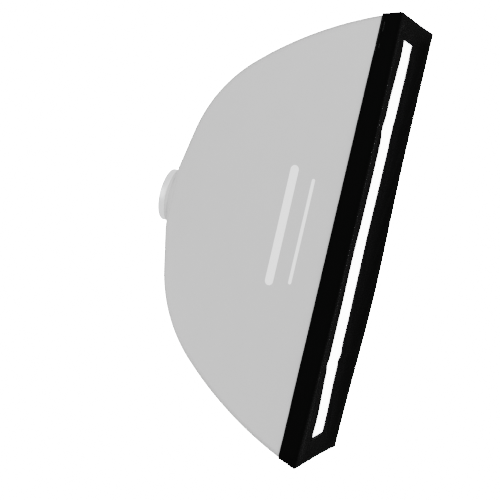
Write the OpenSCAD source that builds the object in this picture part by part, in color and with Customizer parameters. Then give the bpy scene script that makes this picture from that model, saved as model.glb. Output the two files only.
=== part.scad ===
// Strip softbox: a padded-fabric light box on four flexible rods, carried by a
// turning ring on a clamp adapter, with a black strip mask over its front.
// Origin: centre of the clamp bore at the adapter's rear face. The long side
// stands along Z, the light leaves toward -Y and the lamp head comes in from +Y.

/* [Fabric shell] */
// Width of the front opening, outside the fabric
front_w = 305; // [240:1:420]
// Height of the front opening, outside the fabric
front_h = 915; // [700:1:1300]
// Depth from the adapter's rear face to the front of the mask
depth = 448; // [370:1:600]
// Depth from the adapter's rear face to where the four panels start
collar_depth = 34.7; // [28:0.1:50]
// Extra half-width of the rear opening over its half-height
collar_ease = 4; // [2:0.5:12]
// Thickness of the shell fabric
fabric_t = 1.2; // [0.8:0.1:2]
// Angle of the seams off the light axis where they leave the ring
exit_angle = 74.3; // [60:0.1:78]
// Angle of the seams off the light axis at the front
front_angle = 17; // [8:0.5:26]
// Straight length of each seam beside the ring
straight_len = 90; // [60:1:120]
// How much longer the front arc's tangent is than the rear arc's
arc_ratio = 1.58; // [1:0.01:2.4]

/* [Rods] */
// Diameter of a fibreglass rod
rod_d = 6.5; // [4:0.1:8]
// Room between the corner pockets and the fabric
pocket_room = 0.95; // [0.5:0.05:4]
// Room between a bracket's pin and the side panels
bracket_room = 2.2; // [1.5:0.1:6]
// Distance of a rod's front end behind the diffuser's tape
rod_setback = 6; // [5:0.5:20]

/* [Clamp adapter] */
// Diameter of the lamp tube that the adapter clamps
bore_d = 100; // [80:0.5:130]
// Length of the clamp bore
bore_len = 36; // [28:1:46]
// Thickness of the rubber liner
liner_t = 1.2; // [0.8:0.1:2]
// Wall of the adapter's neck
neck_wall = 2.3; // [1.8:0.1:3]
// Height of the visible collar above the neck
collar_step = 2.5; // [2:0.1:4]
// Length of the visible collar
adapter_collar_len = 13; // [11:0.5:14]
// Width of the clamp slot
clamp_slot = 3; // [2:0.5:5]

/* [Turning ring] */
// Wall of the nylon bearing sleeve
bearing_wall = 1.3; // [1:0.1:2]
// Wall of the hub
hub_wall = 2.6; // [2:0.1:4]
// Width of the plate's margin around the hub
plate_margin = 4.5; // [3:0.5:8]
// Thickness of the ring plate
plate_t = 6; // [4:0.5:8]

/* [Front] */
// Distance of the front diffuser behind the mask's rim
recess = 14; // [10:0.5:20]
// Width of the hook and loop tapes
tape_w = 25; // [16:1:30]
// Thickness of the diffusing cloth
cloth_t = 0.8; // [0.5:0.1:1.2]
// Distance of the inner baffle from the adapter's rear face
baffle_y = 230; // [200:1:280]
// Length of the straps at the baffle's long sides
side_strap = 20; // [12:0.5:60]
// Length of the straps at the baffle's short ends
end_strap = 20; // [12:0.5:120]

/* [Strip mask] */
// Thickness of the mask fabric
mask_t = 0.8; // [0.5:0.1:1.2]
// Room between the mask's skirt and the shell
mask_gap = 1.7; // [1.5:0.1:3]
// Length of the mask's skirt
skirt_len = 40; // [30:1:60]
// Width of the strip opening
slot_w = 84; // [50:1:120]
// Height of the mask's border above and below the strip opening
slot_border = 43; // [40:0.5:120]
// Height of the strip opening's centre over the box's centre
slot_rise = 2; // [-4:0.5:4]

/* [Hidden] */

fn_round = 96;
fn_small = 32;
turn_gap = 0.1;
fit_gap = 0.3;

// The adapter and the ring that turns on it, from the bore outward.
bore_r = bore_d / 2;
liner_r = bore_r + liner_t;
neck_r = liner_r + neck_wall;
adapter_r = neck_r + collar_step;
bearing_in_r = neck_r + turn_gap;
bearing_r = bearing_in_r + bearing_wall;
hub_r = bearing_r + hub_wall;
flange_t = 2;
flange_r = hub_r - fit_gap;
bearing_y = adapter_collar_len + 0.5;
hub_y = bearing_y + flange_t;
stop_t = 3;
stop_h = 4;
relief_w = 2;
relief_angle = 150;

// The clamp's ears, stud and knob on the adapter's +X side.
ear_w = adapter_collar_len - 2;
ear_y = adapter_collar_len / 2;
ear_h = 9;
ear_reach = 17;
stud_x = adapter_r + 9;
stud_r = 2.5;
clamp_knob_r = 6.4;
clamp_knob_h = 11;
washer_t = 1.2;
nut_r = 4.6;
nut_t = 4;

// The rotation lock on the hub's +X side.
sleeve_end = hub_y + 8;
lock_r = 3.7;
lock_boss_r = 6;
lock_y = sleeve_end + lock_boss_r - 0.5;
lock_boss_x = hub_r + 3.6;
pad_r = 3;
pad_len = 4;
lock_knob_x = hub_r + 14;
lock_knob_r = 8;
lock_knob_len = 13;

// Half-sizes of the four panels at the rear and at the rim.
collar_z = hub_r + 0.4 + fabric_t / cos(exit_angle);
collar_x = collar_z + collar_ease;
rim_y = depth - mask_t - 0.7;
rim_x = front_w / 2;
rim_z = front_h / 2;

// The seams lie in four upright planes. In each, s runs outward from the rear
// corner and y along the light axis. unit() is the direction at an angle off -Y.
function unit(a) = [sin(a), -cos(a)];
function side(a) = [cos(a), sin(a)];
seam_az = atan2(rim_z - collar_z, rim_x - collar_x);
seam_kx = cos(seam_az);
seam_kz = sin(seam_az);
seam_end = [norm([rim_x - collar_x, rim_z - collar_z]), -rim_y];
seam_p0 = [0, -collar_depth];
seam_p1 = seam_p0 + straight_len * unit(exit_angle);

// Two arcs that meet smoothly join the straight stretch to the rim.
chord = seam_end - seam_p1;
bi_a = 2 * arc_ratio * (1 - unit(exit_angle) * unit(front_angle));
bi_b = chord * (unit(exit_angle) + arc_ratio * unit(front_angle));
bi_d = (-bi_b + sqrt(bi_b * bi_b + bi_a * (chord * chord))) / bi_a;
corner_1 = seam_p1 + bi_d * unit(exit_angle);
corner_2 = seam_end - arc_ratio * bi_d * unit(front_angle);
seam_mid = corner_1 + (corner_2 - corner_1) / (1 + arc_ratio);
half_turn_1 = exit_angle - heading(seam_mid - seam_p1);
mid_angle = exit_angle - 2 * half_turn_1;
arc_1 = norm(seam_mid - seam_p1) / (2 * sin(half_turn_1));
arc_2 = norm(seam_end - seam_mid) / (2 * sin((mid_angle - front_angle) / 2));
centre_1 = seam_p1 - arc_1 * side(exit_angle);
centre_2 = seam_mid - arc_2 * side(mid_angle);
function heading(v) = atan2(v[0], -v[1]);

// A point of the seam, or of a line inset from it, by its angle on either arc.
function arc_point(a, inset) = a >= mid_angle ? centre_1 + (arc_1 - inset) * side(a)
    : centre_2 + (arc_2 - inset) * side(a);

// The angle and the reach s of the seam, or of an inset line, at depth y.
function angle_at(y, inset = 0) =
    -y >= arc_point(exit_angle, inset)[1] ? exit_angle
    : -y >= arc_point(mid_angle, inset)[1] ? asin((-y - centre_1[1]) / (arc_1 - inset))
    : asin((-y - centre_2[1]) / (arc_2 - inset));
function s_at(y, inset = 0) =
    -y >= arc_point(exit_angle, inset)[1]
    ? arc_point(exit_angle, inset)[0] + (-y - arc_point(exit_angle, inset)[1]) * -tan(exit_angle)
    : arc_point(angle_at(y, inset), inset)[0];

// Half-width and half-height of the shell at depth y, dent inside the fabric's outer face.
function slant(k, y) = sqrt(1 + pow(k * tan(angle_at(y)), 2));
function shell_x(y, dent = 0) = collar_x + seam_kx * s_at(y) - dent * slant(seam_kx, y);
function shell_z(y, dent = 0) = collar_z + seam_kz * s_at(y) - dent * slant(seam_kz, y);

// Depths of the panels' cross-sections.
rear_steps = 9;
front_steps = 9;
depths = concat(
    [collar_depth],
    [for (i = [0 : rear_steps])
        -arc_point(exit_angle + (mid_angle - exit_angle) * i / rear_steps, 0)[1]],
    [for (i = [1 : front_steps - 1])
        -arc_point(mid_angle - 0.001 + (front_angle - mid_angle) * i / front_steps, 0)[1]],
    [rim_y]
);

// The rods' planes, and the points where the rods start and end.
rod_r = rod_d / 2;
pocket_r = rod_r + 2.6;
pocket_wall = 1.2;
pocket_len = 26;
rod_inset = fabric_t + pocket_r + pocket_room;
socket_r = rod_r + 2.25;
cheek_gap = 0.7;
cheek_t = 2;
cheek_in = socket_r + cheek_gap;
pin_r = 2;
pin_head_t = 0.8;
rod_x0 = collar_x - fabric_t - cheek_in - cheek_t - pin_head_t - bracket_room;
rod_az = atan2(rim_z - collar_z, rim_x - rod_inset - rod_x0);
pivot = seam_p0 - rod_inset * side(exit_angle);
rod_start = 8;
rod_join = 0.8;
join_swell = 0.05;
diffuser_y = depth - recess;
rod_end_y = diffuser_y - cloth_t - tape_w - rod_setback;
rod_end_angle = angle_at(rod_end_y, rod_inset);
rod_end = arc_point(rod_end_angle, rod_inset);

// The sockets, their brackets and the plate under them.
socket_bore_r = rod_r + 0.15;
socket_len = 36;
base_t = 1.8;
base_back = 17;
base_front = 3;
screw_r = 1.5;
screw_s = -12;
screw_head_r = 2.6;
screw_head_t = 2;
screw_w = cheek_in - screw_head_r - 0.4;
tip_r = rod_r + 0.9;
tip_len = 8;
plate_half = hub_r + plate_margin;
plate_y = socket_r + base_t + 1.3 - pivot[1];

// The bearing's front end, and the clip in the neck that keeps the ring on.
bearing_end = plate_y + plate_t + 0.7;
clip_t = 1.5;
clip_y = bearing_end + 0.4;
clip_depth = 1;
clip_r = bearing_in_r + 2.8;
clip_opening = 30;
neck_end = clip_y + clip_t + 2.5;

// The front: diffuser, its tapes and the rim's binding, and the inner baffle.
tape_t = 1;
binding_len = 8;
binding_t = 1;
strap_w = 15;
strap_t = 1;
strap_pitch = 220;
strap_rows = [-strap_pitch, 0, strap_pitch];
snap_r = 5;
snap_t = 2;
snap_gap = 0.5;
baffle_x = shell_x(baffle_y, fabric_t) - side_strap;
baffle_z = shell_z(baffle_y, fabric_t) - end_strap;
baffle_cut = 30;

// The mask: its rim, the fold that drops to the diffuser and the strip opening.
mask_x = rim_x + mask_gap + mask_t;
mask_z = rim_z + mask_gap + mask_t;
skirt_y = depth - skirt_len;
skirt_x = shell_x(skirt_y) + mask_gap + mask_t;
skirt_z = shell_z(skirt_y) + mask_gap + mask_t;
rim_flat = 6;
fold_w = 30;
bed_y = diffuser_y + fit_gap + mask_t;
slot_h = front_h - 2 * slot_border;
hem_w = 6;
hem_t = 0.5;
grip_t = 0.8;
grip_w = 20;
grip_y = skirt_y + 6;

fabric_grey = [0.78, 0.78, 0.78];
metal_grey = [0.8, 0.81, 0.82];
soft_white = [0.95, 0.95, 0.95];
deep_black = [0.05, 0.05, 0.05];
dark_grey = [0.2, 0.2, 0.2];

// A body of revolution about the light axis, between two depths.
module ring(r_in, r_out, y0, y1) {
    translate([0, -y0, 0])
        rotate([90, 0, 0])
            difference() {
                cylinder(h = y1 - y0, r = r_out, $fn = fn_round);
                translate([0, 0, -1]) cylinder(h = y1 - y0 + 2, r = r_in, $fn = fn_round);
            }
}

// A round bar along X from x0 to x1 at depth y.
module bar_x(x0, x1, y, r) {
    translate([x0, -y, 0]) rotate([0, 90, 0]) cylinder(h = x1 - x0, r = r, $fn = fn_small);
}

// A round bar along Z from z0 to z1 at the stud.
module bar_z(z0, z1, r, sides = fn_small) {
    translate([stud_x, -ear_y, z0]) cylinder(h = z1 - z0, r = r, $fn = sides);
}

// A gap of the clamp's slot width through everything on the +X side.
module clamp_gap(y_end) {
    translate([0, -y_end, -clamp_slot / 2]) cube([2 * stud_x, y_end + 1, clamp_slot]);
}

// The children, mirrored along an axis if on is true.
module flip(axis, on) {
    if (on) mirror(axis) children();
    else children();
}

// The children of the +X +Z corner, in the corner named by two signs.
module at_corner(sx, sz) {
    flip([1, 0, 0], sx < 0) flip([0, 0, 1], sz < 0) children();
}

// The plane of the rod: local X runs outward, local Y along the light axis.
module rod_plane() {
    translate([rod_x0, 0, collar_z]) rotate([0, -rod_az, 0]) children();
}

// All four corners.
module each_corner() {
    for (sx = [-1, 1]) for (sz = [-1, 1]) at_corner(sx, sz) rod_plane() children();
}

// A bar along a direction in the rod's plane, from a point of it.
module plane_bar(from, angle, start, end, r) {
    translate([from[0], from[1], 0])
        rotate([0, 0, angle - 90])
            translate([start, 0, 0])
                rotate([0, 90, 0])
                    cylinder(h = end - start, r = r, $fn = fn_small);
}

// A stretch of round rod on one of the arcs, between two angles.
module rod_arc(centre, radius, a0, a1) {
    translate([centre[0], centre[1], 0])
        rotate([0, 0, a1])
            rotate_extrude(angle = a0 - a1, $fn = fn_round)
                translate([radius - rod_inset, 0]) circle(r = rod_r, $fn = fn_small);
}

// A closed band lofted through rectangles [half x, low z, high z, y].
module rect_loft(rings) {
    n = len(rings);
    points = [for (g = rings) each [
        [-g[0], -g[3], g[1]], [g[0], -g[3], g[1]], [g[0], -g[3], g[2]], [-g[0], -g[3], g[2]]
    ]];
    faces = [for (i = [0 : n - 1]) for (k = [0 : 3])
        [4 * i + k, 4 * i + (k + 1) % 4, 4 * ((i + 1) % n) + (k + 1) % 4, 4 * ((i + 1) % n) + k]];
    polyhedron(points = points, faces = faces, convexity = 4);
}

// A band of tape along the inside of the lip, gap and thickness measured inward.
module lip_band(y0, y1, gap, thick) {
    function row(y, dent) = [shell_x(y, fabric_t) - dent, -shell_z(y, fabric_t) + dent,
        shell_z(y, fabric_t) - dent, y];
    rect_loft([row(y0, gap), row(y1, gap), row(y1, gap + thick), row(y0, gap + thick)]);
}

// The outline between two curves of half-size, as [size, y] at each depth.
function strip(outer, inner) = concat(
    [for (i = [0 : len(depths) - 1]) [outer[i], -depths[i]]],
    [for (i = [len(depths) - 1 : -1 : 0]) [inner[i], -depths[i]]]
);

// A solid whose outline in X and Y is given, at every Z of the box.
module along_z(outline) {
    translate([0, 0, -front_h]) linear_extrude(2 * front_h) polygon(outline);
}

// A solid whose outline in Z and Y is given, at every X of the box.
module along_x(outline) {
    rotate([0, -90, 0]) translate([0, 0, -front_w]) linear_extrude(2 * front_w) polygon(outline);
}

module end_panel() {
    color(fabric_grey)
        intersection() {
            along_x(strip([for (y = depths) shell_z(y)], [for (y = depths) shell_z(y, fabric_t)]));
            along_z(strip([for (y = depths) shell_x(y)], [for (y = depths) -shell_x(y)]));
        }
}

module side_panel() {
    color(fabric_grey)
        intersection() {
            along_z(strip([for (y = depths) shell_x(y)], [for (y = depths) shell_x(y, fabric_t)]));
            along_x(strip([for (y = depths) shell_z(y, fabric_t)],
                [for (y = depths) -shell_z(y, fabric_t)]));
        }
}

module adapter_collar() {
    color(metal_grey)
        difference() {
            union() {
                ring(liner_r, adapter_r, 0, adapter_collar_len);
                ring(liner_r, neck_r, 0, neck_end);
                ring(bore_r - stop_h + liner_t, liner_r + 0.5, bore_len, bore_len + stop_t);
                for (z = [clamp_slot / 2, -clamp_slot / 2 - ear_h])
                    difference() {
                        translate([adapter_r - 3, -ear_y - ear_w / 2, z])
                            cube([ear_reach, ear_w, ear_h]);
                        ring(0, liner_r + 0.5, -1, adapter_collar_len + 1);
                    }
            }
            clamp_gap(adapter_collar_len + relief_w);
            translate([0, -adapter_collar_len, 0])
                rotate([90, 0, 0])
                    rotate([0, 0, -relief_angle / 2])
                        rotate_extrude(angle = relief_angle, $fn = fn_round)
                            translate([liner_r - 1, 0.5]) square([neck_wall + 2, relief_w - 0.5]);
            ring(neck_r - clip_depth, neck_r + 1, clip_y, clip_y + clip_t);
            bar_z(-ear_h - clamp_slot, ear_h + clamp_slot, stud_r + 0.2);
            bar_z(-ear_h - clamp_slot, -ear_h - clamp_slot / 2 + nut_t, nut_r + 0.1, 6);
        }
}

module bore_liner() {
    color(deep_black)
        difference() {
            ring(bore_r, liner_r, 0, bore_len);
            clamp_gap(bore_len);
        }
}

module clamp_stud() {
    color(dark_grey) bar_z(-ear_h - clamp_slot / 2, ear_h + clamp_slot / 2 + clamp_knob_h - 2, stud_r);
}

module clamp_nut() {
    color(dark_grey)
        difference() {
            bar_z(-ear_h - clamp_slot / 2, -ear_h - clamp_slot / 2 + nut_t - 0.1, nut_r, 6);
            bar_z(-ear_h - clamp_slot, 0, stud_r);
        }
}

module clamp_washer() {
    z0 = ear_h + clamp_slot / 2;
    color(dark_grey)
        difference() {
            bar_z(z0, z0 + washer_t, clamp_knob_r - 0.6);
            bar_z(z0 - 1, z0 + washer_t + 1, stud_r + turn_gap);
        }
}

module clamp_knob() {
    z0 = ear_h + clamp_slot / 2 + washer_t + 0.1;
    grips = 8;
    color(deep_black)
        difference() {
            bar_z(z0, z0 + clamp_knob_h, clamp_knob_r);
            bar_z(z0 - 1, z0 + clamp_knob_h - 1.5, stud_r + turn_gap);
            for (i = [0 : grips - 1])
                translate([stud_x, -ear_y, z0 + 2])
                    rotate([0, 0, 360 * i / grips])
                        translate([clamp_knob_r + 1, 0, 0])
                            cylinder(h = clamp_knob_h, r = 2, $fn = fn_small);
        }
}

module retaining_ring() {
    color(dark_grey)
        difference() {
            ring(neck_r - clip_depth + 0.05, clip_r, clip_y + 0.05, clip_y + clip_t - 0.05);
            rotate([0, 90 - clip_opening / 2, 0])
                translate([0, -clip_y - clip_t, 0])
                    linear_extrude(2 * clip_r)
                        polygon([[-9, -1], [9, -1], [9, clip_t + 2], [-9, clip_t + 2]]);
        }
}

module bearing_sleeve() {
    color(soft_white)
        difference() {
            union() {
                ring(bearing_in_r, bearing_r, bearing_y, bearing_end);
                ring(bearing_in_r, flange_r, bearing_y, hub_y);
            }
            bar_x(neck_r - 2, hub_r + 1, lock_y, pad_r + fit_gap);
        }
}

module ring_hub() {
    color(metal_grey)
        difference() {
            union() {
                ring(bearing_r, hub_r, hub_y, plate_y + plate_t);
                difference() {
                    ring_plate();
                    ring(0, hub_r - 0.5, plate_y - 1, plate_y + plate_t + 1);
                }
                difference() {
                    bar_x(bearing_r + 1, lock_boss_x, lock_y, lock_boss_r);
                    ring(0, bearing_r + 0.5, lock_y - 10, lock_y + 10);
                }
            }
            bar_x(neck_r, hub_r + 10, lock_y, lock_r + turn_gap);
            each_corner() screw_holes();
        }
}

// The square plate with round corners.
module ring_plate() {
    r = 14;
    flat = plate_half - r;
    translate([0, -plate_y, 0])
        rotate([90, 0, 0]) {
            translate([-plate_half, -flat, 0]) cube([2 * plate_half, 2 * flat, plate_t]);
            translate([-flat, -plate_half, 0]) cube([2 * flat, 2 * plate_half, plate_t]);
            for (x = [-flat, flat]) for (z = [-flat, flat])
                translate([x, z, 0]) cylinder(h = plate_t, r = r, $fn = fn_small);
        }
}

// Where a corner's two screws run, along the light axis in the rod's plane.
module screw_bars(r, y0, y1) {
    for (w = [-screw_w, screw_w])
        translate([screw_s, -y0, w])
            rotate([90, 0, 0])
                cylinder(h = y1 - y0, r = r, $fn = fn_small);
}

module screw_holes() {
    screw_bars(screw_r + 0.1, plate_y - base_t - 1, plate_y + plate_t + 1);
}

module rod_brackets() {
    color(metal_grey)
        each_corner()
            difference() {
                union() {
                    translate([-base_back, -plate_y, -cheek_in - cheek_t])
                        cube([base_back - base_front, base_t, 2 * (cheek_in + cheek_t)]);
                    for (w = [-cheek_in - cheek_t, cheek_in])
                        translate([0, 0, w]) cheek();
                }
                screw_holes();
                translate([pivot[0], pivot[1], -20]) cylinder(h = 40, r = pin_r, $fn = fn_small);
            }
}

// One side of a bracket: it stands on the plate and carries the pin.
module cheek() {
    translate([pivot[0], pivot[1], 0]) cylinder(h = cheek_t, r = socket_r, $fn = fn_small);
    translate([pivot[0] - socket_r, -plate_y, 0])
        cube([2 * socket_r, plate_y + pivot[1], cheek_t]);
    translate([-base_back, -plate_y, 0]) cube([base_back + pivot[0], base_t + 2, cheek_t]);
}

module bracket_screws() {
    color(dark_grey)
        each_corner() {
            screw_bars(screw_r, plate_y - base_t, plate_y + plate_t);
            screw_bars(screw_head_r, plate_y - base_t - screw_head_t, plate_y - base_t);
        }
}

module rod_socket() {
    color(dark_grey)
        rod_plane()
            difference() {
                union() {
                    plane_bar(pivot, exit_angle, 0, socket_len, socket_r);
                    translate([pivot[0], pivot[1], -socket_r])
                        cylinder(h = 2 * socket_r, r = socket_r - 0.5, $fn = fn_small);
                }
                plane_bar(pivot, exit_angle, rod_start - 0.5, socket_len + 1, socket_bore_r);
                translate([pivot[0], pivot[1], -20])
                    cylinder(h = 40, r = pin_r + turn_gap, $fn = fn_small);
            }
}

module socket_pins() {
    reach = cheek_in + cheek_t;
    color(metal_grey)
        each_corner()
            translate([pivot[0], pivot[1], 0]) {
                translate([0, 0, -reach]) cylinder(h = 2 * reach, r = pin_r, $fn = fn_small);
                for (w = [-reach - pin_head_t, reach])
                    translate([0, 0, w])
                        cylinder(h = pin_head_t, r = pin_r + 1.2, $fn = fn_small);
            }
}

module brake_pad() {
    color(deep_black)
        difference() {
            bar_x(neck_r - 1, neck_r + pad_len + 2, lock_y, pad_r);
            ring(0, neck_r + 0.1, lock_y - 10, lock_y + 10);
        }
}

module lock_knob() {
    grips = 6;
    color(deep_black)
        difference() {
            union() {
                bar_x(neck_r + pad_len + 2.1, lock_knob_x + 1, lock_y, lock_r);
                bar_x(lock_knob_x, lock_knob_x + lock_knob_len, lock_y, lock_knob_r);
            }
            for (i = [0 : grips - 1])
                translate([0, -lock_y, 0])
                    rotate([360 * i / grips, 0, 0])
                        translate([lock_knob_x + 2, 0, lock_knob_r + 1])
                            rotate([0, 90, 0])
                                cylinder(h = lock_knob_len, r = 2.4, $fn = fn_small);
        }
}

module rod() {
    color(dark_grey)
        rod_plane() {
            plane_bar(pivot, exit_angle, rod_start, straight_len, rod_r);
            rod_arc(centre_1, arc_1, exit_angle, mid_angle);
            rod_arc(centre_2, arc_2, mid_angle, rod_end_angle);
            for (a = [exit_angle, mid_angle])
                plane_bar(arc_point(a, rod_inset), a, -rod_join, rod_join, rod_r + join_swell);
        }
}

module rod_tips() {
    color(deep_black)
        each_corner()
            difference() {
                plane_bar(rod_end, rod_end_angle, -tip_len + 2, 2, tip_r);
                rod_arc(centre_2, arc_2, rod_end_angle + 4, rod_end_angle);
            }
}

module corner_pockets() {
    color(fabric_grey)
        each_corner()
            difference() {
                plane_bar(rod_end, rod_end_angle, 3.5 - pocket_len, 3.5, pocket_r);
                plane_bar(rod_end, rod_end_angle, 2.5 - pocket_len, 2.3, pocket_r - pocket_wall);
            }
}

module rear_collar() {
    outer_r = hub_r + fit_gap + fabric_t;
    color(fabric_grey)
        difference() {
            union() {
                ring(0, outer_r, hub_y, sleeve_end);
                collar_taper(outer_r, sleeve_end, 0);
            }
            ring(0, outer_r - fabric_t, hub_y - 1, sleeve_end + 0.01);
            collar_taper(outer_r - fabric_t, sleeve_end, fabric_t);
            bar_x(hub_r - 2, lock_knob_x, lock_y, lock_boss_r + 1);
        }
}

// The collar's change from round to the panels' rectangle.
module collar_taper(r, y0, dent) {
    hull() {
        translate([0, -y0, 0]) rotate([90, 0, 0]) cylinder(h = 0.01, r = r, $fn = 64);
        translate([-collar_x + dent, -collar_depth, -collar_z + dent])
            cube([2 * (collar_x - dent), 0.01, 2 * (collar_z - dent)]);
    }
}

module cinch_strap() {
    outer_r = hub_r + fit_gap + fabric_t;
    color(fabric_grey) ring(outer_r, outer_r + 1.5, hub_y + 0.5, hub_y + 7);
}

module rim_binding() {
    color(fabric_grey) lip_band(rim_y - binding_len, rim_y, fit_gap, binding_t);
}

module lip_hook_tape() {
    color(deep_black) lip_band(diffuser_y - tape_w - cloth_t, diffuser_y - cloth_t - 0.3, 0.2, tape_t);
}

module diffuser_loop_tape() {
    color(soft_white)
        lip_band(diffuser_y - tape_w - cloth_t, diffuser_y - cloth_t, 0.3 + tape_t, tape_t);
}

module front_diffuser() {
    x = shell_x(diffuser_y, fabric_t) - 0.8;
    z = shell_z(diffuser_y, fabric_t) - 0.8;
    color(soft_white) translate([-x, -diffuser_y, -z]) cube([2 * x, cloth_t, 2 * z]);
}

module inner_baffle() {
    x = baffle_x;
    z = baffle_z;
    cut = baffle_cut;
    color(soft_white)
        translate([0, -baffle_y, 0])
            rotate([90, 0, 0])
                translate([0, 0, -cloth_t])
                    linear_extrude(cloth_t)
                        polygon([[-x + cut, -z], [x - cut, -z], [x, -z + cut], [x, z - cut],
                            [x - cut, z], [-x + cut, z], [-x, z - cut], [-x, -z + cut]]);
}

// How far in from the shell the straps end, at a wall that leans by the factor k.
function strap_end(k) = (snap_t + snap_gap) * slant(k, baffle_y) + 1.5;

module baffle_straps() {
    color(soft_white) {
        for (sx = [0, 1]) mirror([sx, 0, 0])
            for (z = strap_rows)
                translate([baffle_x, -baffle_y, z - strap_w / 2])
                    cube([side_strap - strap_end(seam_kx), strap_t, strap_w]);
        for (sz = [0, 1]) mirror([0, 0, sz])
            translate([-strap_w / 2, -baffle_y, baffle_z])
                cube([strap_w, strap_t, end_strap - strap_end(seam_kz)]);
    }
}

module baffle_snaps() {
    lean_x = atan(seam_kx * tan(angle_at(baffle_y)));
    lean_z = atan(seam_kz * tan(angle_at(baffle_y)));
    color(metal_grey) {
        for (sx = [0, 1]) mirror([sx, 0, 0])
            for (z = strap_rows)
                translate([shell_x(baffle_y, fabric_t), -baffle_y, z])
                    rotate([0, 0, lean_x])
                        translate([-snap_gap - snap_t, 0, 0])
                            rotate([0, 90, 0]) cylinder(h = snap_t, r = snap_r, $fn = fn_small);
        for (sz = [0, 1]) mirror([0, 0, sz])
            translate([0, -baffle_y, shell_z(baffle_y, fabric_t)])
                rotate([-lean_z, 0, 0])
                    translate([0, 0, -snap_gap - snap_t])
                        cylinder(h = snap_t, r = snap_r, $fn = fn_small);
    }
}

// A rectangle of the mask, inset by d from its rim at depth y.
function mask_row(d, y) = [mask_x - d, -mask_z + d, mask_z - d, y];
function slot_row(d, y) =
    [slot_w / 2 + d, slot_rise - slot_h / 2 - d, slot_rise + slot_h / 2 + d, y];

module mask_face() {
    fold = rim_flat + fold_w;
    color(deep_black)
        rect_loft([
            mask_row(0, depth),
            mask_row(rim_flat, depth),
            mask_row(fold, bed_y),
            slot_row(0, bed_y),
            slot_row(0, bed_y - mask_t),
            mask_row(fold + mask_t, bed_y - mask_t),
            mask_row(rim_flat + mask_t, depth - mask_t),
            mask_row(0, depth - mask_t)
        ]);
}

// The skirt runs straight from the face's edge to its own rear edge.
function skirt_row(y, dent) =
    let (back = (depth - mask_t - y) / (skirt_len - mask_t))
    let (x = mask_x + (skirt_x - mask_x) * back - dent)
    let (z = mask_z + (skirt_z - mask_z) * back - dent)
    [x, -z, z, y];

module mask_skirt() {
    color(deep_black)
        rect_loft([skirt_row(skirt_y, 0), skirt_row(depth - mask_t, 0),
            skirt_row(depth - mask_t, mask_t), skirt_row(skirt_y, mask_t)]);
}

module slot_hem() {
    color(deep_black)
        rect_loft([slot_row(hem_w, bed_y), slot_row(hem_w, bed_y + hem_t), slot_row(0, bed_y + hem_t),
            slot_row(0, bed_y)]);
}

module mask_grip_tape() {
    near = mask_t + 0.1;
    far = near + grip_t;
    color(deep_black)
        rect_loft([skirt_row(grip_y, near), skirt_row(grip_y + grip_w, near),
            skirt_row(grip_y + grip_w, far), skirt_row(grip_y, far)]);
}

adapter_collar();
bore_liner();
clamp_stud();
clamp_nut();
clamp_washer();
clamp_knob();
retaining_ring();
bearing_sleeve();
ring_hub();
rod_brackets();
bracket_screws();
at_corner(-1, 1) rod_socket();  // socket_top_left
at_corner(1, 1) rod_socket();  // socket_top_right
at_corner(-1, -1) rod_socket();  // socket_bottom_left
at_corner(1, -1) rod_socket();  // socket_bottom_right
socket_pins();
brake_pad();
lock_knob();
at_corner(-1, 1) rod();  // rod_top_left
at_corner(1, 1) rod();  // rod_top_right
at_corner(-1, -1) rod();  // rod_bottom_left
at_corner(1, -1) rod();  // rod_bottom_right
rod_tips();
corner_pockets();
end_panel();  // shell_top
mirror([0, 0, 1]) end_panel();  // shell_bottom
mirror([1, 0, 0]) side_panel();  // shell_left
side_panel();  // shell_right
rear_collar();
cinch_strap();
rim_binding();
lip_hook_tape();
inner_baffle();
baffle_straps();
baffle_snaps();
front_diffuser();
diffuser_loop_tape();
mask_face();
mask_skirt();
slot_hem();
mask_grip_tape();
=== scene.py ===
"""Strip softbox: the fabric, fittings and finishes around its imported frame."""

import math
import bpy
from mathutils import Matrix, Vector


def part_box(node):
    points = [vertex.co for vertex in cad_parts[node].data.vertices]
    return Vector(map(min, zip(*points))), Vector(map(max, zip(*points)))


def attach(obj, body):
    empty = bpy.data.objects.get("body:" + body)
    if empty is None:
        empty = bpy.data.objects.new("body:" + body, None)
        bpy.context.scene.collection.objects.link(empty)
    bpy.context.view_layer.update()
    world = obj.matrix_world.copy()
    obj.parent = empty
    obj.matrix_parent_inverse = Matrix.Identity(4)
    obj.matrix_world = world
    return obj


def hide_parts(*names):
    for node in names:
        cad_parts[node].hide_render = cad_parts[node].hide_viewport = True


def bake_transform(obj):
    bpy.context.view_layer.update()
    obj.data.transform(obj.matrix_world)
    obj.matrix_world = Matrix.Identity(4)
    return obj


bl_info = {
    "name": "Strip Softbox",
    "version": (1, 0, 0),
    "blender": (4, 5, 0),
    "location": "View3D > Sidebar > Softbox",
    "description": "Models a strip softbox with its shell, turning ring, diffusers and mask",
    "category": "Object",
}

import bmesh
import bpy
from bpy.props import FloatProperty, FloatVectorProperty, PointerProperty
from mathutils import Matrix, Vector, noise

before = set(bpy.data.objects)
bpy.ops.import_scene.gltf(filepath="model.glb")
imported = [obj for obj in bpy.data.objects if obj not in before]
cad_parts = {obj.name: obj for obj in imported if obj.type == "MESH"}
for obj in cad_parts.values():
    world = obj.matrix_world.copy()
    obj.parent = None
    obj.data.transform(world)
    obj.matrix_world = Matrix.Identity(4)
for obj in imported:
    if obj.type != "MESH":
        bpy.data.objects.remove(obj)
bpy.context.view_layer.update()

MM = 0.001
CORNERS = {"top_left": (-1, 1), "top_right": (1, 1),
           "bottom_left": (-1, -1), "bottom_right": (1, -1)}
SIDES = {"left": (-1, 0), "right": (1, 0), "top": (0, 1), "bottom": (0, -1)}
FABRIC = 1.2 * MM
# The doubled and taped lip of the shell, from the rim back.
LIP_DEPTH = 44 * MM
HUB_RADIUS = 0.059
# Half the width of the mask's strip opening.
SLOT_HALF = 0.042
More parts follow.
